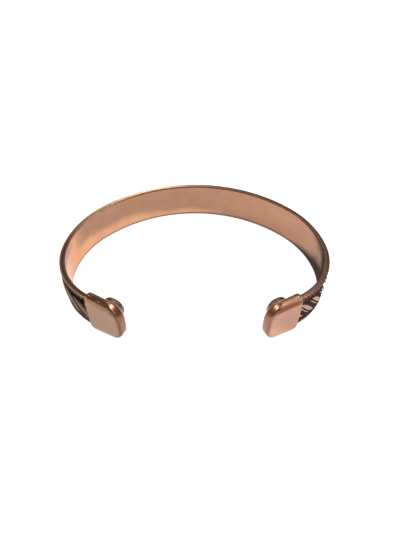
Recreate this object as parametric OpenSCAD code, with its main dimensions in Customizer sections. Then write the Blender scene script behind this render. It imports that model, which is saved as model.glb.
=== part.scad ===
// Open cuff bracelet of copper: a patterned band, with a smooth cap and a round magnet at each end.
// The cuff lies on its edge and the gap for the wrist faces -Y. All sizes are in millimetres.

/* [Band] */
// Width of the copper strip, which stands on its edge
band_height = 10; // [9:0.5:10.5]
// Thickness of the strip at its plain edges
edge_thickness = 1.33; // [1.2:0.01:1.45]
// Radius of the outer face across the back
back_radius = 37.3; // [34:0.1:40]
// Angle of the back arc on each side of the middle, in degrees
back_angle = 44.4; // [42:0.1:46]
// Radius of the outer face at the sides
side_radius = 24.6; // [22:0.1:27]
// Angle of each side arc, in degrees
side_angle = 39.7; // [38:0.1:42]
// Radius of the outer face where the band turns in towards the gap
front_radius = 17.3; // [16:0.1:19]
// Angle of each front arc, in degrees
front_angle = 68.2; // [66:0.1:70]

/* [Pattern] */
// Depth of the dark ground of the pattern below the plain edges
ground_depth = 0.25; // [0.15:0.05:0.3]
// Distance from one bead to the next
bead_pitch = 1.1; // [1:0.05:1.4]
// Height of each bead over the ground
bead_rise = 0.38; // [0.25:0.01:0.45]
// Width of a row of beads
bead_row_width = 0.9; // [0.6:0.05:1]
// Distance from an edge of the band to the middle of its row of beads
bead_inset = 0.75; // [0.7:0.05:0.9]
// Width of the twisted rope along the middle of the band
rope_width = 5.2; // [4.5:0.1:6]
// Height of the rope over the ground
rope_rise = 0.6; // [0.4:0.05:0.7]

/* [Caps] */
// Length of a cap along the band
cap_length = 9.1; // [8.5:0.1:10]
// Height of a cap at its mouth
cap_height = 13.1; // [12.6:0.1:13.5]
// Height that each long edge of a cap loses from the mouth to the tip
cap_taper = 0.3; // [0.15:0.05:0.4]
// Thickness of a cap
cap_thickness = 2.66; // [2.62:0.02:3]
// Height of the cap's outer face over the band's edges
cap_outset = 0.75; // [0.6:0.05:0.9]
// Width of the rolled edge along a cap's long sides, seen from outside
cap_roll_width = 2.2; // [1.4:0.1:2.4]
// Depth of the rolled edge along a cap's long sides
cap_roll_depth = 1.3; // [1.2:0.05:1.3]
// Radius that rounds the rim between a cap's outer face and its tip
cap_crease_radius = 0.7; // [0.3:0.05:1]
// Radius that rounds the rim between a cap's inner face and its tip
cap_inner_radius = 0.9; // [0.3:0.05:1.2]
// Radius of the wide curve round a cap's tip
cap_tip_radius = 4.8; // [4.6:0.1:5.2]
// Radius of the two corners between that curve and the long edges
cap_corner_radius = 2; // [1.5:0.1:2.2]
// Height that the middle of a cap's tip bulges out
cap_tip_bulge = 0.5; // [0:0.1:0.8]
// Radius of the two corners at a cap's mouth
cap_mouth_radius = 0.8; // [0.3:0.1:1]
// Length of the band's front arc that a cap covers
cap_overlap = 0.35; // [0.1:0.05:1]
// Distance that the band and its caps sit to the right, measured along the band
strip_shift = 0.3; // [-0.5:0.1:0.5]

/* [Magnets] */
// Diameter of a magnet
magnet_diameter = 5.6; // [4:0.1:6.5]
// Height of a magnet over the inner face of its cap
magnet_height = 2.85; // [1.5:0.05:3.5]
// Radius that rounds a magnet's rim
magnet_rim_radius = 0.8; // [0.3:0.1:1.2]
// Distance from the mouth of a cap to the middle of its magnet
magnet_place = 3.7; // [3.1:0.1:5]

/* [Hidden] */

// Clearance round the band's tongue in its cap
tongue_clearance = 0.1;
// Gap between the end of the pattern and the mouth of a cap
mouth_gap = 0.2;
// Film of glue between a magnet and its cap
glue_gap = 0.05;
// Distance from the tip of a cap to the end of its slot
tip_wall = 3.4;
// Rows of points up half the rope
rope_half_rows = 6;
// Heights of the rope from one strand to the next, as shares of its crest: a broad strand, a slit,
// a thin wire and the ground
strand_profile = [1, 0.85, 0.15, 0.6, 0, 0.05, 0.8];
// Columns from the middle of the back to the strand that the rope's two halves start from
first_strand = 3;
// Height of the rope at its two borders, as a share of the middle
rope_border = 0.3;
// Height of the wire between two beads, as a share of a bead
bead_valley = 0.25;
// Flat steps in half the curve of a cap's tip, in each corner there, in each corner at the mouth, and
// in the roll of the edges
tip_steps = 4;
corner_steps = 4;
mouth_steps = 2;
edge_steps = 4;
// Sides that a magnet's circles are drawn with
magnet_sides = 64;

// Radius and angle of each arc, from the middle of the back to the front
ARCS = [[back_radius, back_angle], [side_radius, side_angle], [front_radius, front_angle]];
function arc_length(arc) = arc[0] * arc[1] * PI / 180;
arcs_length = arc_length(ARCS[0]) + arc_length(ARCS[1]) + arc_length(ARCS[2]);
mouth_distance = arcs_length - cap_overlap;
tongue_end = mouth_distance + cap_length - tip_wall - tongue_clearance;
pattern_half = mouth_distance - mouth_gap;

// Place on the outer face at a distance s from the middle of the back, as [x, y, heading]
function walk(s, arc = 0, x = 0, y = 0, heading = 0) =
    arc == len(ARCS) ? [x + s * cos(heading), y - s * sin(heading), heading] :
    let (
        radius = ARCS[arc][0],
        turn = min(ARCS[arc][1], s / radius * 180 / PI),
        ahead = heading + turn,
        next_x = x + radius * (sin(ahead) - sin(heading)),
        next_y = y + radius * (cos(ahead) - cos(heading))
    )
    turn < ARCS[arc][1] ? [next_x, next_y, ahead] :
    walk(s - arc_length(ARCS[arc]), arc + 1, next_x, next_y, ahead);

// The same on both sides, where the left side has the negative distances
function place(s) = let (p = walk(abs(s)), side = sign(s)) [side * p[0], p[1], side * p[2]];

// The band's edges are lifted off the table, because the caps are taller than the band
band_lift = (cap_height - band_height) / 2;
middle = band_lift + band_height / 2;

// The origin lies below the middle of the cuff's depth, between the rope's crest and the caps' tips
arcs_end = walk(arcs_length);
cap_reach = cap_length - cap_overlap + abs(strip_shift) - cap_crease_radius;
front_y = arcs_end[1] - cap_reach * sin(arcs_end[2])
    + (cap_outset - cap_crease_radius) * cos(arcs_end[2]) - cap_crease_radius;
back_y = rope_rise - ground_depth;
origin_shift = -(front_y + back_y) / 2;

// A point of a section: s along the band, outwards from the plain edges, and z up from the lower edge
function section_point(s, out, z) =
    let (p = place(s + strip_shift))
    [p[0] + out * sin(p[2]), p[1] + out * cos(p[2]) + origin_shift, z + band_lift];

// Height over the ground of a bead row at a column: beads on the odd columns, valleys between
function bead_out(column) = bead_rise * (column % 2 == 1 ? 1 : bead_valley) - ground_depth;

// Height over the ground of the rope, whose strands lean one column for each row
function rope_out(column, row) =
    let (
        from_first = abs(column - pattern_columns / 2 - first_strand - row),
        strand = strand_profile[from_first % len(strand_profile)],
        crown = rope_border + (1 - rope_border) * cos(90 * row / rope_half_rows)
    )
    rope_rise * strand * crown - ground_depth;

// The outer face from an edge to the rope, as [out, distance from the edge]
function edge_rows(column) = [
    [0, 0],
    [-ground_depth, bead_inset - bead_row_width / 2],
    [bead_out(column), bead_inset],
    [-ground_depth, bead_inset + bead_row_width / 2]
];

// The rope's rows bunch towards its borders, so that the strands curve over as in a real twist
function rope_rows(column) = [
    for (row = [-rope_half_rows:rope_half_rows])
        [rope_out(column, row), band_height / 2 + rope_width / 2 * sin(90 * row / rope_half_rows)]
];

// One ring of [out, z] through the patterned band, up its outer face and down its inner face
function pattern_ring(column) = let (edge = edge_rows(column), last = len(edge) - 1) [
    for (row = edge) row,
    for (row = rope_rows(column)) row,
    for (k = [last:-1:0]) [edge[k][0], band_height - edge[k][1]],
    [-edge_thickness, band_height],
    [-edge_thickness, 0]
];

// The plain tongue in a cap has as many points, all drawn in by the clearance
function drawn_in(value, low, high) = min(max(value, low + tongue_clearance), high - tongue_clearance);
function tongue_ring() = [
    for (point = pattern_ring(0))
        [
            point[0] == -edge_thickness ? tongue_clearance - edge_thickness : -tongue_clearance,
            drawn_in(point[1], 0, band_height)
        ]
];

pattern_columns = 2 * round(2 * pattern_half / bead_pitch);
column_step = 2 * pattern_half / pattern_columns;

function ring_at(s, ring) = [for (point = ring) section_point(s, point[0], point[1])];

module band() {
    rings = [
        ring_at(-tongue_end, tongue_ring()),
        ring_at(-pattern_half, tongue_ring()),
        for (column = [0:pattern_columns])
            ring_at(column * column_step - pattern_half, pattern_ring(column)),
        ring_at(pattern_half, tongue_ring()),
        ring_at(tongue_end, tongue_ring())
    ];
    points_per_ring = len(rings[0]);
    last_ring = len(rings) - 1;
    inner_corner = points_per_ring - 2;
    color("peru")
    polyhedron(
        points = [for (ring = rings) each ring],
        faces = [
            for (ring = [0:last_ring - 1], k = [0:points_per_ring - 1])
                let (
                    a = ring * points_per_ring + k,
                    b = ring * points_per_ring + (k + 1) % points_per_ring,
                    c = a + points_per_ring,
                    d = b + points_per_ring
                )
                each [[a, d, b], [a, c, d]],
            [for (k = [0:points_per_ring - 1]) (inner_corner + k) % points_per_ring],
            [for (k = [0:points_per_ring - 1])
                last_ring * points_per_ring + (inner_corner + points_per_ring - k) % points_per_ring]
        ]
    );
}

// Puts a piece at the right end of the band: X runs towards the tip, Y outwards and Z up
module at_right_end() {
    translate([arcs_end[0], arcs_end[1] + origin_shift, middle])
        rotate([0, 0, -arcs_end[2]])
            children();
}

// The half height of a cap where its tip begins, and the middle of the tip's upper curve
tip_half = cap_height / 2 - cap_taper;
tip_x = cap_length - cap_overlap - cap_tip_bulge - cap_tip_radius;
tip_z = cap_height / 2 - cap_tip_radius;

// A point of the tip's outline moved out by the bulge at its height
function bulged(point) = [point[0] + cap_tip_bulge * (1 - pow(point[1] / tip_half, 2)), point[1]];

// A point on an arc, at an angle from the direction of the tip
function on_arc(centre, radius, angle) = centre + radius * [cos(angle), sin(angle)];

// The upper half of a cap's outline seen from outside, from the tip back to the mouth, as [x, z].
// Its long edges have rolled in by a share of their width, and its tip is drawn in by an inset.
function upper_outline(roll, inset) =
    let (
        half_height = tip_half - roll * cap_roll_width,
        radius = cap_tip_radius - inset,
        corner_z = half_height - cap_corner_radius,
        corner_x = tip_x + sqrt(pow(radius - cap_corner_radius, 2) - pow(corner_z - tip_z, 2)),
        met = atan2(corner_z - tip_z, corner_x - tip_x)
    )
    [
        bulged([tip_x + radius, 0]),
        for (k = [0:tip_steps]) bulged(on_arc([tip_x, tip_z], radius, met * k / tip_steps)),
        for (k = [1:corner_steps])
            bulged(on_arc([corner_x, corner_z], cap_corner_radius, met + (90 - met) * k / corner_steps)),
        for (k = [0:mouth_steps]) on_arc(
            [cap_mouth_radius - cap_overlap, half_height + cap_taper - cap_mouth_radius],
            cap_mouth_radius, 90 + 90 * k / mouth_steps)
    ];

// The whole outline, from the mouth round the tip and back
function cap_outline(roll, inset) =
    let (upper = upper_outline(roll, inset))
    [for (k = [len(upper) - 1:-1:1]) [upper[k][0], -upper[k][1]], each upper];

// How far a rounded rim draws in the tip at a depth below a face
function rim_inset(radius, depth) = radius - sqrt(pow(radius, 2) - pow(max(0, radius - depth), 2));

// The outline at each depth of a cap, as [roll, inset, y], from the outer face to the inner
function cap_layers() = [
    for (angle = [0:90 / edge_steps:90])
        let (depth = cap_roll_depth * (1 - cos(angle)))
        [1 - sin(angle), rim_inset(cap_crease_radius, depth), cap_outset - depth],
    for (angle = [90:-90 / edge_steps:0])
        let (depth = cap_roll_depth * (1 - cos(angle)))
        [1 - sin(angle), rim_inset(cap_inner_radius, depth), cap_outset - cap_thickness + depth]
];

// The four corners of the slot at one depth, from outside below, to inside and then above
function slot_corners(x) = [
    for (corner = [[0, -1], [-edge_thickness, -1], [-edge_thickness, 1], [0, 1]])
        [x, corner[0], corner[1] * band_height / 2]
];

// A tongue-shaped sleeve of sheet copper with a slot for the band
module cap() {
    layers = cap_layers();
    across = len(cap_outline(0, 0));
    deep = len(layers);
    slot = across * deep;
    slot_end = cap_length - cap_overlap - tip_wall;
    below = [for (layer = [0:deep - 1]) layer * across];
    above = [for (layer = [0:deep - 1]) layer * across + across - 1];
    polyhedron(
        points = [
            for (layer = layers, point = cap_outline(layer[0], layer[1])) [point[0], layer[2], point[1]],
            each slot_corners(-cap_overlap),
            each slot_corners(slot_end)
        ],
        faces = [
            [for (k = [0:across - 1]) k],
            [for (k = [across - 1:-1:0]) below[deep - 1] + k],
            for (layer = [0:deep - 2], k = [0:across - 2])
                let (a = layer * across + k, b = a + across)
                each [[a, b + 1, a + 1], [a, b, b + 1]],
            // The mouth, as fans and strips round the slot
            [slot, for (layer = [edge_steps:-1:0]) below[layer]],
            [slot, slot + 1, below[edge_steps + 1], below[edge_steps]],
            [slot + 1, for (layer = [deep - 1:-1:edge_steps + 1]) below[layer]],
            [slot + 1, slot + 2, above[deep - 1], below[deep - 1]],
            [slot + 2, for (layer = [edge_steps + 1:deep - 1]) above[layer]],
            [slot + 2, slot + 3, above[edge_steps], above[edge_steps + 1]],
            [slot + 3, for (layer = [0:edge_steps]) above[layer]],
            [slot + 3, slot, below[0], above[0]],
            // The slot's four walls and its end
            for (k = [0:3]) [slot + k, slot + 4 + k, slot + 4 + (k + 1) % 4, slot + (k + 1) % 4],
            [for (k = [3:-1:0]) slot + 4 + k]
        ]
    );
}

// A round magnet with a rounded rim, standing on the cap's inner face
module magnet() {
    radius = magnet_diameter / 2;
    translate([magnet_place - cap_overlap, cap_outset - cap_thickness - glue_gap, 0])
        rotate([90, 0, 0])
            rotate_extrude($fn = magnet_sides) {
                square([radius, magnet_height - magnet_rim_radius]);
                square([radius - magnet_rim_radius, magnet_height]);
                translate([radius - magnet_rim_radius, magnet_height - magnet_rim_radius])
                    circle(magnet_rim_radius, $fn = magnet_sides);
            }
}

module cap_right() {
    color("burlywood") at_right_end() translate([strip_shift, 0, 0]) cap();
}

module cap_left() {
    color("burlywood") mirror([1, 0, 0]) at_right_end() translate([-strip_shift, 0, 0]) cap();
}

module magnet_right() {
    color("sienna") at_right_end() magnet();
}

module magnet_left() {
    mirror([1, 0, 0]) magnet_right();
}

band();
cap_left();
cap_right();
magnet_left();
magnet_right();
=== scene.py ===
"""Looks of an open copper cuff: a patterned band, with a smooth cap and a magnet at each end."""

import math

import bmesh
import bpy
from mathutils import Matrix, Vector


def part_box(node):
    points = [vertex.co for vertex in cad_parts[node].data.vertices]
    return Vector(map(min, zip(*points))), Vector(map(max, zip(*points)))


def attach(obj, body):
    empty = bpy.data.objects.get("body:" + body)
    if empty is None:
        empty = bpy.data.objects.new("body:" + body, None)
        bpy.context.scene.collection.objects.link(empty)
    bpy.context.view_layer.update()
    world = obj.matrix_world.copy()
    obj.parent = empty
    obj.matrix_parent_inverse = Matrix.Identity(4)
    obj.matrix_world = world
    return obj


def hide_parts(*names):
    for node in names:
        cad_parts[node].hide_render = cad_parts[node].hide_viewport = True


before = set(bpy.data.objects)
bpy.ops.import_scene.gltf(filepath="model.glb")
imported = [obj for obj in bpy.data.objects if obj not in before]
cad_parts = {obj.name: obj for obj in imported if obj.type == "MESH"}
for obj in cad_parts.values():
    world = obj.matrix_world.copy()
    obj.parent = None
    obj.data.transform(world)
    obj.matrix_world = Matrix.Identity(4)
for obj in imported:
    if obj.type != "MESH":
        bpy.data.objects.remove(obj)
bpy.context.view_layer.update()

MM = 0.001

# Sizes of the part, as its source has them, in millimetres. An arc is its radius and its angle
BAND_HEIGHT = 10
EDGE_THICKNESS = 1.33
ARCS = [(37.3, math.radians(44.4)), (24.6, math.radians(39.7)), (17.3, math.radians(68.2))]
GROUND_DEPTH = 0.25
BEAD_PITCH = 1.1
BEAD_RISE = 0.38
BEAD_INSET = 0.75
ROPE_WIDTH = 5.2
ROPE_RISE = 0.6
ROPE_HALF_ROWS = 6
STRAND_COLUMNS = 7
MOTIF_COLUMN = 3
CAP_LENGTH = 9.1
CAP_HEIGHT = 13.1
CAP_TAPER = 0.3
CAP_THICKNESS = 2.66
CAP_OUTSET = 0.75
CAP_ROLL_WIDTH = 2.2
CAP_ROLL_DEPTH = 1.3
CAP_CREASE_RADIUS = 0.7
CAP_INNER_RADIUS = 0.9
CAP_CORNER_RADIUS = 2
CAP_TIP_RADIUS = 4.8
CAP_TIP_BULGE = 0.5
CAP_MOUTH_RADIUS = 0.8
CAP_OVERLAP = 0.35
STRIP_SHIFT = 0.3
MAGNET_DIAMETER = 5.6
MAGNET_HEIGHT = 2.85
MAGNET_RIM_RADIUS = 0.8
MAGNET_PLACE = 3.7
TONGUE_CLEARANCE = 0.1
MOUTH_GAP = 0.2
GLUE_GAP = 0.05
TIP_WALL = 3.4

# Finer forms, which only the looks have, in millimetres, and the caps' slant as a slope
OUTER_EDGE_RADIUS = 0.16
INNER_EDGE_RADIUS = 0.28
BORDER_WIDTH = 0.32
BORDER_SLOPE = 0.07
BEAD_RADIUS = 0.43
BEAD_ZONE = 2
MOUTH_EDGE_RADIUS = 0.3
CAP_SLANT = 0.035
CAP_DENT = (-21.72, -20.75, 12.63)
DENT_FLAT = 0.15
DENT_EDGE = 0.5

# The rope's form: places and half widths as shares of one strand, heights as shares of its rise
STRAND_HALF = 0.17
STRAND_SWELL = 0.05
WIRE_PLACE = 0.36
WIRE_HALF = 0.085
WIRE_HEIGHT = 0.8
JOIN_PLACE = 0.2
JOIN_HALF = 0.25
JOIN_HEIGHT = 0.7
JOIN_LEVELS = (0.6, 0.9)
ROPE_EDGE_HEIGHT = 0.3
GROUND_FADE = (0.25, 0.75)

# How finely the meshes are divided
STEPS_PER_BEAD = 8
BEAD_ROWS = 4
GROUND_ROWS = (1.5, 1.9, 2.3)
ROPE_POINT_ROWS = 20
SECTION_CORNER_STEPS = 4
INNER_ROW_SHARES = (0.995, 0.9, 0.7, 0.5, 0.3, 0.1, 0.005)
TIP_ROW_SHARES = (0, 0.3, 0.65)
TIP_STEPS = 10
CAP_CORNER_STEPS = 8
SIDE_SHARES = (0.35, 0.7)
MOUTH_CORNER_STEPS = 5
MOUTH_EDGE_STEPS = 3
ROLL_STEPS = 9
PLATE_BORDER = 0.25
SLOT_BORDER = 0.1
MAGNET_FACE_BORDER = 0.1
MAGNET_STEPS = 72
MERGE_DISTANCE = 0.001
FACING = 0.999
SHARP_ANGLE = math.radians(40)

# The camera, solved from the band's edges and the caps, in degrees, millimetres and pixels
CAMERA_ELEVATION = 45.05
CAMERA_PAN = 1.55
CAMERA_TILT = -3.32
CAMERA_DISTANCE = 121.844
CAMERA_TARGET_DEPTH = 22.0
FOCAL_PIXELS = 457.9
PHOTO_HEIGHT = 554

# The floor, in metres, and its gap under the cuff, in millimetres
FLOOR_HALF_WIDTH = 3
FLOOR_GAP = 0.02

# The lamps: name, place in metres, side in metres and power in watts
LAMPS = [
    ("left", (-0.24, 0.0, 0.29), 0.08, 0.14),
    ("right", (0.24, 0.0, 0.29), 0.08, 0.36),
    ("front", (0.28, -0.135, 0.19), 0.18, 0.1),
    ("behind", (0.07, 0.15, 0.3), 0.08, 0.12),
    ("rim", (-0.042, 0.258, 0.194), 0.055, 0.05),
]

# Colours, as linear red, green, blue and alpha
COPPER = (0.34, 0.187, 0.119, 1)
WARM_COPPER = (0.41, 0.216, 0.137, 1)
# Painted reflection, low down on the inner face's left
BRIGHT_COPPER = (0.64, 0.335, 0.19, 1)
# Painted reflection at the inner face's left end
PINK_COPPER = (0.65, 0.3, 0.15, 1)
LILAC_COPPER = (0.3, 0.13, 0.08, 1)
YELLOW_COPPER = (0.45, 0.27, 0.14, 1)
BROWN_COPPER = (0.17, 0.095, 0.065, 1)
# Painted shade on the inner face's right end
DARK_COPPER = (0.085, 0.052, 0.042, 1)
# RIM_COPPER is painted shade on the rim's outer edge to the right, and PALE_RIM is its painted
# highlight
RIM_COPPER = (0.15, 0.075, 0.058, 1)
PALE_RIM = (0.68, 0.42, 0.26, 1)
BLACKENED = (0.025, 0.015, 0.011, 1)
WORN_BLACK = (0.07, 0.042, 0.032, 1)
WORN_CREST = (0.45, 0.33, 0.25, 1)
SHADED_CREST = (0.2, 0.145, 0.108, 1)
SHADED_CAP_FACE = (0.315, 0.18, 0.119, 1)
LIT_CAP_FACE = (0.4, 0.212, 0.14, 1)
# Painted light on the right cap's face, and the painted highlight in the dent
BRIGHT_CAP = (0.56, 0.3, 0.192, 1)
# Painted highlight on the right cap's upper roll
WARM_CAP = (0.66, 0.35, 0.22, 1)
SHADED_ROLL_CAP = (0.31, 0.16, 0.095, 1)
# Painted shade on the caps' rolls and near their tips
RED_BROWN = (0.19, 0.075, 0.033, 1)
PINK_CAP = (0.44, 0.2, 0.135, 1)
OLIVE_CAP = (0.31, 0.21, 0.115, 1)
CAP_WALL = (0.285, 0.148, 0.096, 1)
# Painted shade on the caps' rolls, top edges and creases
CAP_BROWN = (0.11, 0.06, 0.034, 1)
PLATING = (0.36, 0.19, 0.145, 1)
DARK_PLATING = (0.17, 0.095, 0.083, 1)
FLOOR_GREY = (0.8, 0.8, 0.8, 1)
FLOOR_GLOW = (1, 1, 1, 1)
ROOM_LIGHT = (0.31, 0.285, 0.275, 1)

# Patches to the metre of the stains and the fine grain
BAND_CLOUDS = 110.0
BAND_BLOTCHES = 330.0
BAND_GRIME = 900.0
CAP_CLOUDS = 160.0
CAP_STAINS = 380.0
CAP_GRAIN = 2500.0
MAGNET_STAINS = 500.0

# Depth of the fine marks on each piece, in millimetres
BAND_MARKS = 0.01
CAP_MARKS = 0.03
MAGNET_MARKS = 0.01

ARCS_LENGTH = sum(radius * angle for radius, angle in ARCS)
MOUTH_DISTANCE = ARCS_LENGTH - CAP_OVERLAP
TONGUE_END = MOUTH_DISTANCE + CAP_LENGTH - TIP_WALL - TONGUE_CLEARANCE
PATTERN_HALF = MOUTH_DISTANCE - MOUTH_GAP
BEADS = round(2 * PATTERN_HALF / BEAD_PITCH)
COLUMN_STEP = PATTERN_HALF / BEADS
BAND_LIFT = (CAP_HEIGHT - BAND_HEIGHT) / 2
MIDDLE = CAP_HEIGHT / 2


def walk(distance):
    """Place and heading on the outer face, at a distance from the middle of the back."""
    x = y = heading = 0.0
    for radius, angle in ARCS:
        turn = min(angle, distance / radius)
        x += radius * (math.sin(heading + turn) - math.sin(heading))
        y += radius * (math.cos(heading + turn) - math.cos(heading))
        heading += turn
        distance -= radius * turn
    return x + distance * math.cos(heading), y - distance * math.sin(heading), heading


def origin_shift():
    """Depth from the outer face of the back to the frame's origin, as the source works it out."""
    _, y, heading = walk(ARCS_LENGTH)
    reach = CAP_LENGTH - CAP_OVERLAP + STRIP_SHIFT - CAP_CREASE_RADIUS
    rounded = CAP_CREASE_RADIUS * (1 + math.cos(heading))
    front = y - reach * math.sin(heading) + CAP_OUTSET * math.cos(heading) - rounded
    return -(front + ROPE_RISE - GROUND_DEPTH) / 2


ORIGIN_SHIFT = origin_shift()


def on_band(distance, out, up):
    """Point of the band: along it from the back's middle, outwards, and up from its lower edge."""
    distance += STRIP_SHIFT
    side = math.copysign(1, distance)
    x, y, heading = walk(abs(distance))
    x += out * math.sin(heading)
    y += out * math.cos(heading)
    return Vector((side * x, y + ORIGIN_SHIFT, up + BAND_LIFT)) * MM


def smooth_step(value, low, high):
    """0 below low, 1 above high, and a soft change between them."""
    share = min(max((value - low) / (high - low), 0), 1)
    return share * share * (3 - 2 * share)


def dome(offset):
    """Height of a round form, as a share, at an offset given as a share of its half width."""
    return math.sqrt(max(0, 1 - offset * offset))


def bead_rise(distance, up):
    """Height over the ground of the two rows of beads."""
    along = math.remainder(distance + PATTERN_HALF - COLUMN_STEP, 2 * COLUMN_STEP)
    across = min(up, BAND_HEIGHT - up) - BEAD_INSET
    return BEAD_RISE * dome(math.hypot(along, across) / BEAD_RADIUS)


def rope_rise(distance, up):
    """Height over the ground of the twisted rope: a strand and a thin wire that join at one end."""
    level = (up - BAND_HEIGHT / 2) / (ROPE_WIDTH / 2)
    if abs(level) >= 1:
        return 0
    row = ROPE_HALF_ROWS * math.asin(level) / (math.pi / 2)
    twist = (distance / COLUMN_STEP - MOTIF_COLUMN - row) / STRAND_COLUMNS
    phase = abs(twist) - round(abs(twist))
    crown = dome(level)
    strand = dome(phase / (STRAND_HALF + STRAND_SWELL * crown))
    wire = WIRE_HEIGHT * dome((phase - WIRE_PLACE) / WIRE_HALF)
    joined = smooth_step(-level * math.copysign(1, twist), *JOIN_LEVELS)
    joined *= JOIN_HEIGHT * dome((phase - JOIN_PLACE) / JOIN_HALF)
    height = ROPE_EDGE_HEIGHT + (1 - ROPE_EDGE_HEIGHT) * crown
    return ROPE_RISE * height * max(strand, wire, joined)


def outer_rows():
    """Heights of the rows of points up the outer face, closer together where relief is fine."""
    border_rows = [BORDER_WIDTH, BORDER_WIDTH + BORDER_SLOPE]
    bead_shares = [row / BEAD_ROWS for row in range(1 - BEAD_ROWS, BEAD_ROWS + 1)]
    bead_rows = [BEAD_INSET + BEAD_RADIUS * share for share in bead_shares]
    lower = [OUTER_EDGE_RADIUS, *border_rows, *bead_rows, *GROUND_ROWS]
    rope_rows = range(-ROPE_POINT_ROWS, ROPE_POINT_ROWS + 1)
    turns = [math.pi / 2 * row / ROPE_POINT_ROWS for row in rope_rows]
    rope = [BAND_HEIGHT / 2 + ROPE_WIDTH / 2 * math.sin(turn) for turn in turns]
    return lower + rope + [BAND_HEIGHT - up for up in reversed(lower)]


def corner(out, up, radius, first):
    """Points of a rounded corner of the section, from an angle in degrees on, a quarter turn."""
    turns = [90 * step / SECTION_CORNER_STEPS for step in range(SECTION_CORNER_STEPS + 1)]
    angles = [math.radians(first + turn) for turn in turns]
    return [(out + radius * math.cos(angle), up + radius * math.sin(angle)) for angle in angles]


def plain_ring():
    """The section without its pattern, as points [out, up], from the outer face on over the top."""
    top = BAND_HEIGHT - INNER_EDGE_RADIUS
    inside = INNER_EDGE_RADIUS - EDGE_THICKNESS
    outer_top = BAND_HEIGHT - OUTER_EDGE_RADIUS
    flat = BAND_HEIGHT - 2 * INNER_EDGE_RADIUS
    inner_rows = [INNER_EDGE_RADIUS + flat * share for share in INNER_ROW_SHARES]
    return [
        *[(0, up) for up in outer_rows()[1:-1]],
        *corner(-OUTER_EDGE_RADIUS, outer_top, OUTER_EDGE_RADIUS, 0),
        *corner(inside, top, INNER_EDGE_RADIUS, 90),
        *[(-EDGE_THICKNESS, up) for up in inner_rows],
        *corner(inside, INNER_EDGE_RADIUS, INNER_EDGE_RADIUS, 180),
        *corner(-OUTER_EDGE_RADIUS, OUTER_EDGE_RADIUS, OUTER_EDGE_RADIUS, 270),
    ]


def tongue_point(out, up):
    """A point of the section, drawn in all round by the clearance of the tongue in its cap."""
    across = min(max(out, TONGUE_CLEARANCE - EDGE_THICKNESS), -TONGUE_CLEARANCE)
    return across, min(max(up, TONGUE_CLEARANCE), BAND_HEIGHT - TONGUE_CLEARANCE)


def patterned_point(distance, out, up):
    """A point of the section with the pattern on it, and how much of the black ground it keeps."""
    inset = min(up, BAND_HEIGHT - up)
    if out < 0 or inset <= BORDER_WIDTH:
        return out, up, 0.0
    rise = max(bead_rise(distance, up), rope_rise(distance, up))
    crest = BEAD_RISE if inset < BEAD_ZONE else ROPE_RISE
    return rise - GROUND_DEPTH, up, 1 - smooth_step(rise / crest, *GROUND_FADE)


def band_shape():
    """The band as one closed skin: a grid wrapped round the section, and closed at both ends."""
    steps = BEADS * STEPS_PER_BEAD
    stations = [-TONGUE_END, -PATTERN_HALF]
    stations += [2 * PATTERN_HALF * step / steps - PATTERN_HALF for step in range(steps + 1)]
    stations += [PATTERN_HALF, TONGUE_END]
    ring = plain_ring()
    columns, rows = len(stations) - 1, len(ring)
    skin = bmesh.new()
    bmesh.ops.create_grid(skin, x_segments=columns, y_segments=rows, size=0.5)
    along = skin.verts.layers.float.new("along")
    inside = skin.verts.layers.float.new("inside")
    depth = skin.verts.layers.float.new("depth")
    ground = skin.verts.layers.float.new("ground")
    for point in skin.verts:
        column = round((point.co.x + 0.5) * columns)
        out, up = ring[round((point.co.y + 0.5) * rows) % rows]
        distance = stations[column]
        point[along] = distance
        point[inside] = float(out < INNER_EDGE_RADIUS / 2 - EDGE_THICKNESS)
        point[depth] = -out
        if 1 < column < columns - 1:
            out, up, point[ground] = patterned_point(distance, out, up)
        else:
            out, up = tongue_point(out, up)
        point.co = on_band(distance, out, up)
    bmesh.ops.remove_doubles(skin, verts=skin.verts, dist=MERGE_DISTANCE * MM)
    ends = [edge for edge in skin.edges if edge.is_boundary]
    bmesh.ops.holes_fill(skin, edges=ends, sides=0)
    bmesh.ops.recalc_face_normals(skin, faces=skin.faces)
    return skin


def to_end(side, shift):
    """Puts a shape made round the band's end there: X runs towards the tip, Y outwards, Z up."""
    x, y, heading = walk(ARCS_LENGTH)
    place = Matrix.Translation(Vector((x, y + ORIGIN_SHIFT, MIDDLE)) * MM)
    turned = place @ Matrix.Rotation(-heading, 4, "Z") @ Matrix.Scale(MM, 4)
    return Matrix.Diagonal((side, 1, 1, 1)) @ turned @ Matrix.Translation((side * shift, 0, 0))


def finish_shape(shape, side, shift=0.0):
    """Puts a piece of a cuff's end in its place, sewn up and with its faces outwards."""
    bmesh.ops.remove_doubles(shape, verts=shape.verts, dist=MERGE_DISTANCE)
    bmesh.ops.transform(shape, matrix=to_end(side, shift), verts=shape.verts)
    bmesh.ops.recalc_face_normals(shape, faces=shape.faces)
    return shape


def arc(centre_x, centre_z, radius, first, last, steps):
    """Points [x, z] of an arc from one angle to another."""
    points = []
    for step in range(steps + 1):
        turn = first + (last - first) * step / steps
        points.append((centre_x + radius * math.cos(turn), centre_z + radius * math.sin(turn)))
    return points


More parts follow.
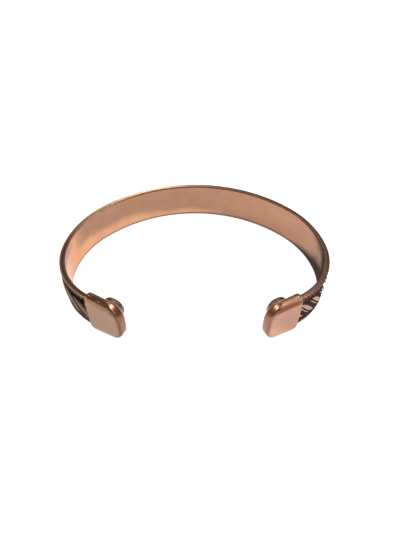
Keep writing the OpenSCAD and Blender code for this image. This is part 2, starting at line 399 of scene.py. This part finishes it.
def cap_outline(roll, inset):
    """Outline of a cap from outside, as points [x, z]: a round tip, and sides that spread."""
    full = CAP_HEIGHT / 2 - CAP_TAPER
    half_height = full - roll * CAP_ROLL_WIDTH
    radius = CAP_TIP_RADIUS - inset
    tip_x = CAP_LENGTH - CAP_OVERLAP - CAP_TIP_BULGE - CAP_TIP_RADIUS
    tip_z = CAP_HEIGHT / 2 - CAP_TIP_RADIUS
    corner_z = half_height - CAP_CORNER_RADIUS
    corner_reach = math.sqrt((radius - CAP_CORNER_RADIUS) ** 2 - (corner_z - tip_z) ** 2)
    corner_x = tip_x + corner_reach
    met = math.atan2(corner_z - tip_z, corner_x - tip_x)
    upper = [(tip_x + radius, tip_z * share) for share in TIP_ROW_SHARES]
    upper += arc(tip_x, tip_z, radius, 0, met, TIP_STEPS)
    upper += arc(corner_x, corner_z, CAP_CORNER_RADIUS, met, math.pi / 2, CAP_CORNER_STEPS)[1:]
    upper = [(x + CAP_TIP_BULGE * (1 - (z / full) ** 2), z) for x, z in upper]
    side_x = upper[-1][0]
    mouth_x = CAP_MOUTH_RADIUS - CAP_OVERLAP
    mouth_z = half_height + CAP_TAPER - CAP_MOUTH_RADIUS
    for share in SIDE_SHARES:
        upper.append((side_x + (mouth_x - side_x) * share, half_height + CAP_TAPER * share))
    upper += arc(mouth_x, mouth_z, CAP_MOUTH_RADIUS, math.pi / 2, math.pi, MOUTH_CORNER_STEPS)
    return [(x, -z) for x, z in reversed(upper)] + upper[1:]


def rolled_edge(radius):
    """How a cap's edge rolls away from a face, as [share rolled in, inset of the tip, depth]."""
    edge = []
    for step in range(ROLL_STEPS + 1):
        turn = math.pi / 2 * step / ROLL_STEPS
        depth = CAP_ROLL_DEPTH * (1 - math.cos(turn))
        inset = radius - math.sqrt(radius ** 2 - max(0, radius - depth) ** 2)
        edge.append((1 - math.sin(turn), inset, depth))
    return edge


def cap_layers():
    """Layers of a cap from its outer face to its inner one, as [roll, inset of the tip, y]."""
    inner_y = CAP_OUTSET - CAP_THICKNESS
    outer = [(roll, inset, CAP_OUTSET - depth) for roll, inset, depth in
             rolled_edge(CAP_CREASE_RADIUS)]
    inner = [(roll, inset, inner_y + depth) for roll, inset, depth in
             rolled_edge(CAP_INNER_RADIUS)]
    return outer + inner[::-1]


def cap_skin(side):
    """The rolled edges of a cap: a grid wrapped round its outline, open at both faces and mouth."""
    layers = cap_layers()
    outlines = [cap_outline(roll, inset) for roll, inset, _ in layers]
    columns, rows = len(outlines[0]) - 1, len(layers) - 1
    shape = bmesh.new()
    bmesh.ops.create_grid(shape, x_segments=columns, y_segments=rows, size=0.5)
    rolled = shape.verts.layers.float.new("rolled")
    reach = shape.verts.layers.float.new("reach")
    for point in shape.verts:
        column = round((point.co.x + 0.5) * columns)
        row = round((point.co.y + 0.5) * rows)
        roll, _, y = layers[row]
        x, z = outlines[row][column]
        point[rolled] = 1 - roll
        point[reach] = x
        point.co = Vector((x, y, z + side * CAP_SLANT * (x - CAP_LENGTH / 2)))
    return shape


def close_cap(shape):
    """Closes a cap's skin with an outer plate, an inner plate and a mouth. Returns the mouth."""
    edges_of = {"outer": [], "inner": [], "mouth": []}
    for edge in shape.edges:
        if not edge.is_boundary:
            continue
        places = [point.co for point in edge.verts]
        if all(abs(place.x + CAP_OVERLAP) < MERGE_DISTANCE for place in places):
            edges_of["mouth"].append(edge)
        else:
            edges_of["outer" if places[0].y > 0 else "inner"].append(edge)
    for name in ("outer", "inner"):
        met = [point for edge in edges_of[name] for point in edge.verts]
        lip = shape.edges.new([point for point in set(met) if met.count(point) == 1])
        edges_of[name].append(lip)
        edges_of["mouth"].append(lip)
    plates = [
        bmesh.ops.contextual_create(shape, geom=edges)["faces"][0] for edges in edges_of.values()
    ]
    bmesh.ops.recalc_face_normals(shape, faces=shape.faces)
    bmesh.ops.inset_individual(shape, faces=plates[:2], thickness=PLATE_BORDER, depth=0)
    return plates[2]


def cut_slot(shape, mouth):
    """Rounds the edges of a cap's mouth, and sinks the slot for the band's tongue into it."""
    bmesh.ops.bevel(shape, geom=list(mouth.edges), offset=MOUTH_EDGE_RADIUS,
                    segments=MOUTH_EDGE_STEPS, affect="EDGES", profile=0.5, material=-1,
                    clamp_overlap=True)
    shape.normal_update()
    to_mouth = Vector((-1, 0, 0))
    facing = [face for face in shape.faces if face.normal.dot(to_mouth) > FACING]
    opening = max(facing, key=lambda face: face.calc_area())
    bmesh.ops.inset_individual(shape, faces=[opening], thickness=SLOT_BORDER, depth=0)
    for point in opening.verts:
        point.co.y = min(max(point.co.y, -EDGE_THICKNESS), 0)
        point.co.z = min(max(point.co.z, -BAND_HEIGHT / 2), BAND_HEIGHT / 2)
    bottom = bmesh.ops.extrude_discrete_faces(shape, faces=[opening])["faces"][0]
    bmesh.ops.translate(shape, vec=(CAP_LENGTH - TIP_WALL, 0, 0), verts=bottom.verts)


def cap_shape(side):
    """A cap: a sleeve of sheet copper with rolled edges, and a slot in its mouth."""
    shape = cap_skin(side)
    mouth = close_cap(shape)
    cut_slot(shape, mouth)
    return finish_shape(shape, side, STRIP_SHIFT)


def magnet_shape(side):
    """A magnet: its profile turned round the axis that stands on the cap's inner face."""
    shape = bmesh.new()
    radius = MAGNET_DIAMETER / 2
    flat = radius - MAGNET_RIM_RADIUS
    rim = corner(flat, MAGNET_HEIGHT - MAGNET_RIM_RADIUS, MAGNET_RIM_RADIUS, 0)
    face = [(flat - MAGNET_FACE_BORDER, MAGNET_HEIGHT), (0, MAGNET_HEIGHT)]
    profile = [(0, 0), (radius, 0), *rim, *face]
    foot = Vector((MAGNET_PLACE - CAP_OVERLAP, CAP_OUTSET - CAP_THICKNESS - GLUE_GAP, 0))
    points = [shape.verts.new(foot + Vector((out, -height, 0))) for out, height in profile]
    edges = [shape.edges.new(pair) for pair in zip(points, points[1:])]
    bmesh.ops.spin(shape, geom=points + edges, cent=foot, axis=(0, 1, 0), angle=2 * math.pi,
                   steps=MAGNET_STEPS, use_merge=True)
    return finish_shape(shape, side)


class Shade:
    """A number that a paint's nodes work out, for use in Python's arithmetic."""

    def __init__(self, paint, socket):
        self.paint = paint
        self.socket = socket

    def maths(self, operation, first, second):
        """Adds a Math node."""
        return self.paint.node("Math", {"operation": operation}, {0: first, 1: second})

    def __add__(self, other):
        return self.maths("ADD", self, other)

    def __sub__(self, other):
        return self.maths("SUBTRACT", self, other)

    def __rsub__(self, other):
        return self.maths("SUBTRACT", other, self)

    def __mul__(self, other):
        return self.maths("MULTIPLY", self, other)

    __radd__ = __add__
    __rmul__ = __mul__


class Paint:
    """A material made of nodes."""

    def __init__(self, name):
        self.material = bpy.data.materials.new(name)
        self.material.use_nodes = True
        self.tree = self.material.node_tree
        self.tree.nodes.clear()

    def node(self, kind, settings, inputs, output=0):
        """Adds a node: its settings, then the values or links of its sockets. Gives an output."""
        node = self.tree.nodes.new("ShaderNode" + kind)
        for name, value in settings.items():
            setattr(node, name, value)
        for key, value in inputs.items():
            if isinstance(value, Shade):
                self.tree.links.new(value.socket, node.inputs[key])
            else:
                node.inputs[key].default_value = value
        return Shade(self, node.outputs[output]) if node.outputs else None

    def place(self):
        """The point on the object, in metres."""
        return self.node("TexCoord", {}, {}, "Object")

    def along_axis(self, place, axis):
        """One coordinate of a place."""
        return self.node("SeparateXYZ", {}, {0: place}, axis)

    def kept(self, name):
        """A number kept on the points of the mesh."""
        return self.node("Attribute", {"attribute_name": name}, {}, "Fac")

    def noise(self, place, scale, detail):
        """A soft random number about 0.5, with that many patches to the unit."""
        return self.node("TexNoise", {}, {"Vector": place, "Scale": scale, "Detail": detail})

    def distance(self, place, spot):
        """How far a place is from a spot."""
        return self.node("VectorMath", {"operation": "DISTANCE"}, {0: place, 1: spot}, "Value")

    def vector(self, x, y, z):
        """A vector of three numbers."""
        return self.node("CombineXYZ", {}, {0: x, 1: y, 2: z})

    def ramp(self, value, low, high):
        """0 where the value is below low, 1 where it is above high, and a soft change between."""
        return self.node("MapRange", {"interpolation_type": "SMOOTHSTEP"},
                         {"Value": value, "From Min": low, "From Max": high})

    def mix(self, share, first, second):
        """A colour that goes from the first to the second."""
        return self.node("Mix", {"data_type": "RGBA"}, {0: share, 6: first, 7: second}, 2)

    def bump(self, height, depth):
        """A normal for a height from 0 to 1 that stands for that depth, in metres."""
        return self.node("Bump", {}, {"Height": height, "Distance": depth, "Strength": 1.0})

    def surface(self, **sockets):
        """A surface with these values or links in its sockets."""
        named = {name.replace("_", " "): value for name, value in sockets.items()}
        return self.node("BsdfPrincipled", {}, named)

    def cover(self, share, under, over):
        """A surface that another one covers by that share."""
        return self.node("MixShader", {}, {0: share, 1: under, 2: over})

    def finish(self, surface):
        """Joins the surface to the material's output."""
        self.node("OutputMaterial", {}, {"Surface": surface})
        return self.material


def inner_face(paint, place, along, up, right, clouds, lines):
    """Colour of the band's inner face: warmer to the right, with a painted reflection low down on
    the left, a pale painted reflection at the left end, and painted shade along its foot.
    """
    face = paint.mix(paint.ramp(along, 0, 30), COPPER, WARM_COPPER)
    # Painted reflection: a bright band low down on the left of the inner face
    reflection_edge = up + clouds * 3 + paint.ramp(along, -42, 5) * 3
    painted_reflection = (1 - paint.ramp(reflection_edge, 4.4, 7.4)) * (1 - paint.ramp(along, 0, 16))
    face = paint.mix(painted_reflection, face, BRIGHT_COPPER)
    # Painted reflection: the left end of the inner face pale pink
    left_end = 1 - paint.ramp(along + clouds * 4, -41, -36)
    face = paint.mix(left_end, face, PINK_COPPER)
    face = paint.mix(paint.ramp(lines, 0.5, 0.75) * 0.3, face, BROWN_COPPER)
    blotches = paint.noise(place, BAND_BLOTCHES, 4.0)
    lilac_blotches = paint.ramp(blotches, 0.46, 0.68)
    yellow_blotches = 1 - paint.ramp(blotches, 0.3, 0.5)
    blotch_share = 0.14
    face = paint.mix(lilac_blotches * blotch_share, face, LILAC_COPPER)
    face = paint.mix(yellow_blotches * blotch_share, face, YELLOW_COPPER)
    top_of_left_end = paint.ramp(up, 6.6, 8.4) * (1 - paint.ramp(along, -48, -42))
    face = paint.mix(top_of_left_end, face, LILAC_COPPER)
    # Painted shade: a dark line along the inner face's foot, broader to the right
    foot = 1 - paint.ramp(up - right * 0.3, 0.35, 0.9)
    return paint.mix(foot * 0.9, face, BROWN_COPPER)


def band_rim(paint, along, depth, right):
    """Colour of the band's plain edges: painted shade darkens them on the right, and a painted
    highlight lightens the outer edge and the back's left half.
    """
    # Painted highlight on the back's left half and on the rim's outer edge, painted shade on the
    # right
    rim_highlight = paint.ramp(along, -48, -33) * (1 - paint.ramp(along, 0, 35))
    outer_rim = paint.mix(rim_highlight * 0.4 + 0.6 - right * 0.48, RIM_COPPER, PALE_RIM)
    inner_rim = paint.mix(rim_highlight + right * 0.1, BROWN_COPPER, COPPER)
    return paint.mix(paint.ramp(depth - rim_highlight * 0.35, 0.25, 0.65), outer_rim, inner_rim)


def pattern_crest(paint, along, across_squared, grime):
    """Colour of the raised pattern: worn pale, darker with painted shade at the left end, and
    browner on the beads.
    """
    crest = paint.mix(paint.ramp(grime, 0.2, 0.6), COPPER, WORN_CREST)
    # Painted shade: the crests darker towards the left end
    left_end = 0.8 - paint.ramp(along, -55, -40) * 0.8
    crest = paint.mix(left_end, crest, SHADED_CREST)
    beads = paint.ramp(across_squared, 8, 11)
    return paint.mix(beads * 0.85, crest, BROWN_COPPER)


def band_copper():
    """Polished strip: stained here and there, with painted reflections, highlights and shade, and
    blackened in the ground of the pattern.
    """
    paint = Paint("band_copper")
    # In millimetres: along from the back's middle, up from the lower edge, depth from outside
    place = paint.place()
    along = paint.kept("along")
    inside = paint.kept("inside")
    ground = paint.kept("ground")
    depth = paint.kept("depth")
    up = paint.along_axis(place, "Z") * (1 / MM) - BAND_LIFT
    across = up - BAND_HEIGHT / 2
    across_squared = across * across
    clouds = paint.noise(place, BAND_CLOUDS, 4.0)
    drawn_out = paint.vector(along * 0.25, up * 9, inside * 5)
    lines = paint.noise(drawn_out, 1.0, 3.0)
    grime = paint.noise(place, BAND_GRIME, 3.0)
    right = paint.ramp(along, -20, 20)

    face = inner_face(paint, place, along, up, right, clouds, lines)
    rim = band_rim(paint, along, depth, right)
    crest = pattern_crest(paint, along, across_squared, grime)
    border = BAND_HEIGHT / 2 - BORDER_WIDTH
    border_fade = 0.1
    on_border = paint.ramp(across_squared, (border - border_fade) ** 2, border ** 2)
    pattern = (1 - inside) * (1 - on_border)
    metal = paint.surface(
        Base_Color=paint.mix(pattern, paint.mix(inside, rim, face), crest),
        Metallic=1.0,
        Roughness=0.22 + clouds * 0.12 - inside * 0.01 + pattern * 0.23,
        Normal=paint.bump(lines * inside + grime * 0.2, BAND_MARKS * MM),
    )
    # Dark cover: the real blackened ground of the pattern, and painted shade on the inner face's
    # right end
    soot_and_shade = paint.surface(
        Base_Color=paint.mix(inside, paint.mix(right, BLACKENED, WORN_BLACK), DARK_COPPER),
        Roughness=0.6,
        Specular_IOR_Level=0.0,
    )
    rubbed = (1 - right) * (1 - paint.ramp(up, 1.4, 2.6)) * 0.65
    black_ground = paint.ramp(ground + grime * 0.3, 0.35, 0.75) * (1 - rubbed)
    # Painted shade: the inner face darkens towards its right end, darkest near its foot
    over = up - 6.5
    shade_edge = along + over * over * 0.35 + clouds * 8 + lines * 6
    painted_shade_end = paint.ramp(shade_edge, 48.5, 57.5) * inside
    return paint.finish(paint.cover(black_ground + painted_shade_end, metal, soot_and_shade))


def cap_face(paint, place, right, reach, up, clouds):
    """Colour of the caps' smooth faces: the left darker with painted shade, the right lighter with
    painted light and brightest low down at its tip.
    """
    # Painted light and shade: the right cap's face lighter and brightest low at its tip, the left
    # cap's face darker
    lit_face = paint.mix(paint.ramp(reach - up + clouds * 2, 5, 12), LIT_CAP_FACE, BRIGHT_CAP)
    face = paint.mix(right, SHADED_CAP_FACE, lit_face)
    stains = paint.noise(place, CAP_STAINS, 3.0)
    pink_stains = paint.ramp(stains, 0.48, 0.68)
    olive_stains = 1 - paint.ramp(stains, 0.32, 0.5)
    face = paint.mix(pink_stains * 0.25, face, PINK_CAP)
    return paint.mix(olive_stains * (0.35 - right * 0.2), face, OLIVE_CAP)


def cap_edges(paint, face, right, reach, up, clouds, rolled):
    """Changes the caps' colour on the upper roll and its edge, the tip's wall and the crease: a
    painted highlight on the right roll, and painted shade on the left roll, under the roll's top,
    on the upper edge, near the tip and in the crease.
    """
    # Painted highlight on the right cap's upper roll, painted shade on the left's
    upper_roll = paint.ramp(up + right * -0.4, 4.4, 5.0)
    metal = paint.mix(upper_roll, face, paint.mix(right, SHADED_ROLL_CAP, WARM_CAP))
    # Painted shade: a darker band along the upper roll, under its top
    roll_shade = paint.ramp(up + clouds * 0.6, 4.3, 4.8) * (1 - paint.ramp(up, 5.45, 5.8))
    roll_shade = roll_shade * paint.ramp(reach + right * 4, 1, 5)
    roll_shade = roll_shade * (1 - paint.ramp(reach, 6, 7.5) * right * 0.7)
    roll_shade_colour = paint.mix(right, CAP_BROWN, RED_BROWN)
    metal = paint.mix(roll_shade * (0.25 + right * 0.75), metal, roll_shade_colour)
    # Painted shade: the roll's top edge darker
    upper_edge = paint.ramp(up, 5.95, 6.3)
    metal = paint.mix(upper_edge * (0.6 + right * 0.15), metal, CAP_BROWN)
    tip_wall = paint.ramp(reach, 7.9, 8.4) * (1 - paint.ramp(up, 4, 5))
    metal = paint.mix(tip_wall, metal, CAP_WALL)
    # Painted shade near the tip, stronger on the left cap
    metal = paint.mix(paint.ramp(reach, 7.3, 7.9) * (0.5 - right * 0.35), metal, RED_BROWN)
    # Painted shade in the crease between the face and the roll, towards the tip
    crease = paint.ramp(rolled, 0.01, 0.06) * (1 - paint.ramp(rolled, 0.35, 0.65))
    tip_crease = crease * paint.ramp(reach, 5.5, 7.5)
    return paint.mix(tip_crease * (0.75 - right * 0.4), metal, CAP_BROWN)


def cap_copper():
    """Smooth pale copper with soft stains, painted highlights and shade on the rolled edges, and a
    dent with a painted highlight.
    """
    paint = Paint("cap_copper")
    # In millimetres: reach from the end of the band's curve, up from the middle of the cap
    place = paint.place()
    rolled = paint.kept("rolled")
    reach = paint.kept("reach")
    up = paint.along_axis(place, "Z") * (1 / MM) - MIDDLE
    right = paint.ramp(paint.along_axis(place, "X"), -5 * MM, 5 * MM)
    clouds = paint.noise(place, CAP_CLOUDS, 3.0)
    grain = paint.noise(place, CAP_GRAIN, 2.0)
    from_dent = paint.distance(place, Vector(CAP_DENT) * MM)
    hollow = paint.ramp(from_dent, DENT_FLAT * MM, DENT_EDGE * MM)
    face = cap_face(paint, place, right, reach, up, clouds)
    metal = cap_edges(paint, face, right, reach, up, clouds, rolled)
    polished_tip = paint.ramp(reach, 3, 6) * 0.1 * right
    return paint.finish(paint.surface(
        # Painted highlight: the middle of the dent pale
        Base_Color=paint.mix(1 - hollow, metal, BRIGHT_CAP),
        Metallic=1.0,
        Roughness=0.2 + right * 0.1 - polished_tip + clouds * 0.08,
        Normal=paint.bump(clouds + grain * 0.02 + hollow * 4, CAP_MARKS * MM),
    ))


def magnet_copper():
    """Dark copper plating, glossy and a little stained."""
    paint = Paint("magnet_copper")
    stains = paint.noise(paint.place(), MAGNET_STAINS, 4.0)
    return paint.finish(paint.surface(
        Base_Color=paint.mix(paint.ramp(stains, 0.35, 0.65), PLATING, DARK_PLATING),
        Metallic=1.0,
        Roughness=0.3 + stains * 0.15,
        Normal=paint.bump(stains, MAGNET_MARKS * MM),
    ))


def pale_floor():
    """A pale sheet that glows a little, as a light table does."""
    paint = Paint("pale_floor")
    return paint.finish(paint.surface(
        Base_Color=FLOOR_GREY,
        Roughness=0.9,
        Emission_Color=FLOOR_GLOW,
        Emission_Strength=0.85,
    ))


def add_object(name, data):
    """Makes an object of a mesh, lamp or camera, and puts it in the scene."""
    made = bpy.data.objects.new(name, data)
    bpy.context.scene.collection.objects.link(made)
    return made


def add_mesh(name, shape, paint):
    """Makes a finished bmesh an object with one material."""
    mesh = bpy.data.meshes.new(name)
    shape.to_mesh(mesh)
    shape.free()
    mesh.materials.append(paint)
    return add_object(name, mesh)


def piece(name, shape, paint, node):
    """Makes a finished bmesh a piece that stands for its CAD node."""
    made = add_mesh(name, shape, paint)
    made.data.shade_smooth()
    made.data.set_sharp_from_angle(angle=SHARP_ANGLE)
    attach(made, "root")
    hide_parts(node)


def floor():
    """The sheet that the cuff lies on, which touches its caps in front and its edge at the back."""
    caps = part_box("cap_left")[1].y
    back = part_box("band")[1].y
    slope = math.atan2(BAND_LIFT * MM, back - caps)
    sheet = bmesh.new()
    bmesh.ops.create_grid(sheet, x_segments=1, y_segments=1, size=FLOOR_HALF_WIDTH)
    tilt = Matrix.Translation((0, caps, -FLOOR_GAP * MM)) @ Matrix.Rotation(slope, 4, "X")
    bmesh.ops.transform(sheet, matrix=tilt, verts=sheet.verts)
    add_mesh("floor", sheet, pale_floor())


def lamp(name, place, size, power):
    """A square lamp that looks at the frame's origin, under the middle of the cuff."""
    light = bpy.data.lights.new(name, "AREA")
    light.size = size
    light.energy = power
    made = add_object(name, light)
    made.location = place
    made.rotation_euler = (-Vector(place)).to_track_quat("-Z", "Y").to_euler()


def camera():
    """The photograph's view: down at the cuff from in front, a little turned and tilted."""
    elevation = math.radians(CAMERA_ELEVATION)
    pan = math.radians(CAMERA_PAN)
    tilt = math.radians(CAMERA_TILT)
    target = Vector((0, ORIGIN_SHIFT - CAMERA_TARGET_DEPTH, MIDDLE)) * MM
    back = Vector((0, -math.cos(elevation), math.sin(elevation)))
    right = Vector((1, 0, 0))
    forward = -back
    up = right.cross(forward)
    ahead = math.cos(pan) * forward + math.sin(pan) * right
    across = math.cos(pan) * right - math.sin(pan) * forward
    view = math.cos(tilt) * ahead + math.sin(tilt) * up
    top = math.cos(tilt) * up - math.sin(tilt) * ahead
    made = add_object("camera", bpy.data.cameras.new("camera"))
    made.data.lens = FOCAL_PIXELS * made.data.sensor_width / PHOTO_HEIGHT
    made.data.clip_start = 10 * MM
    turned = Matrix((across, top, -view)).transposed().to_4x4()
    made.matrix_world = Matrix.Translation(target + CAMERA_DISTANCE * MM * back) @ turned
    bpy.context.scene.camera = made


def room():
    """A dim even room round the lamps."""
    world = bpy.data.worlds.new("room")
    world.use_nodes = True
    world.node_tree.nodes["Background"].inputs["Color"].default_value = ROOM_LIGHT
    bpy.context.scene.world = world
    bpy.context.scene.view_settings.view_transform = "Standard"


camera()
room()
floor()
for name, place, size, power in LAMPS:
    lamp(name, place, size, power)

piece("patterned_band", band_shape(), band_copper(), "band")
cap_paint = cap_copper()
magnet_paint = magnet_copper()
for hand, side in (("left", -1), ("right", 1)):
    piece(f"smooth_cap_{hand}", cap_shape(side), cap_paint, f"cap_{hand}")
    magnet = magnet_shape(side)
    piece(f"plated_magnet_{hand}", magnet, magnet_paint, f"magnet_{hand}")
